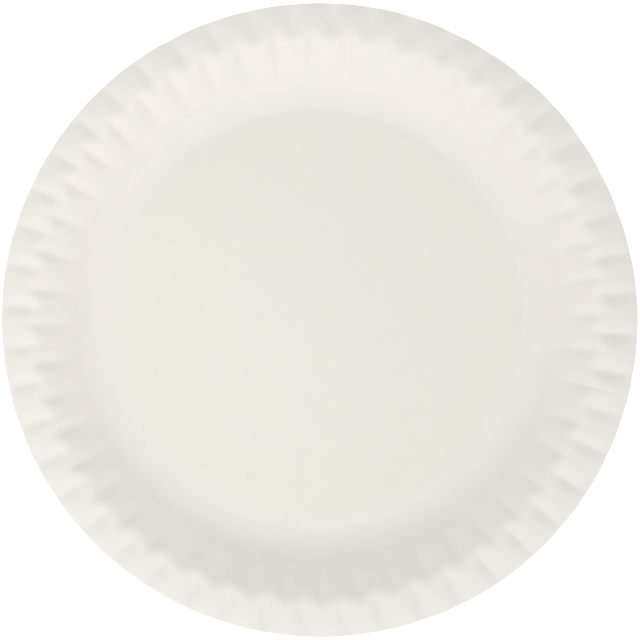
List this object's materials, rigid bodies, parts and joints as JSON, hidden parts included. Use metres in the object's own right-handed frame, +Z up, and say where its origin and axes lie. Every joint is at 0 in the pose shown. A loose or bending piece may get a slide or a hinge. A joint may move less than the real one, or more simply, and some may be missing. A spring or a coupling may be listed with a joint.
{
  "type": "paper plate",
  "caption": "Round paper plate with a slightly raised flat centre, a sloping wall and a nearly level rim turned down at its edge, pressed with two rows of flutes half a flute out of step.",
  "frame": {"origin": "centre of the foot plane, the lowest plane of the plate", "axes": "+Z up along the plate's axis of symmetry, towards the eating side; +X runs through a groove of the rim"},
  "size_m": [0.2288, 0.2288, 0.0169],
  "materials": {
    "uncoated_board": "matte warm white uncoated board"
  },
  "bodies": {
    "root": {"plate": "uncoated_board"}
  },
  "joints": []
}
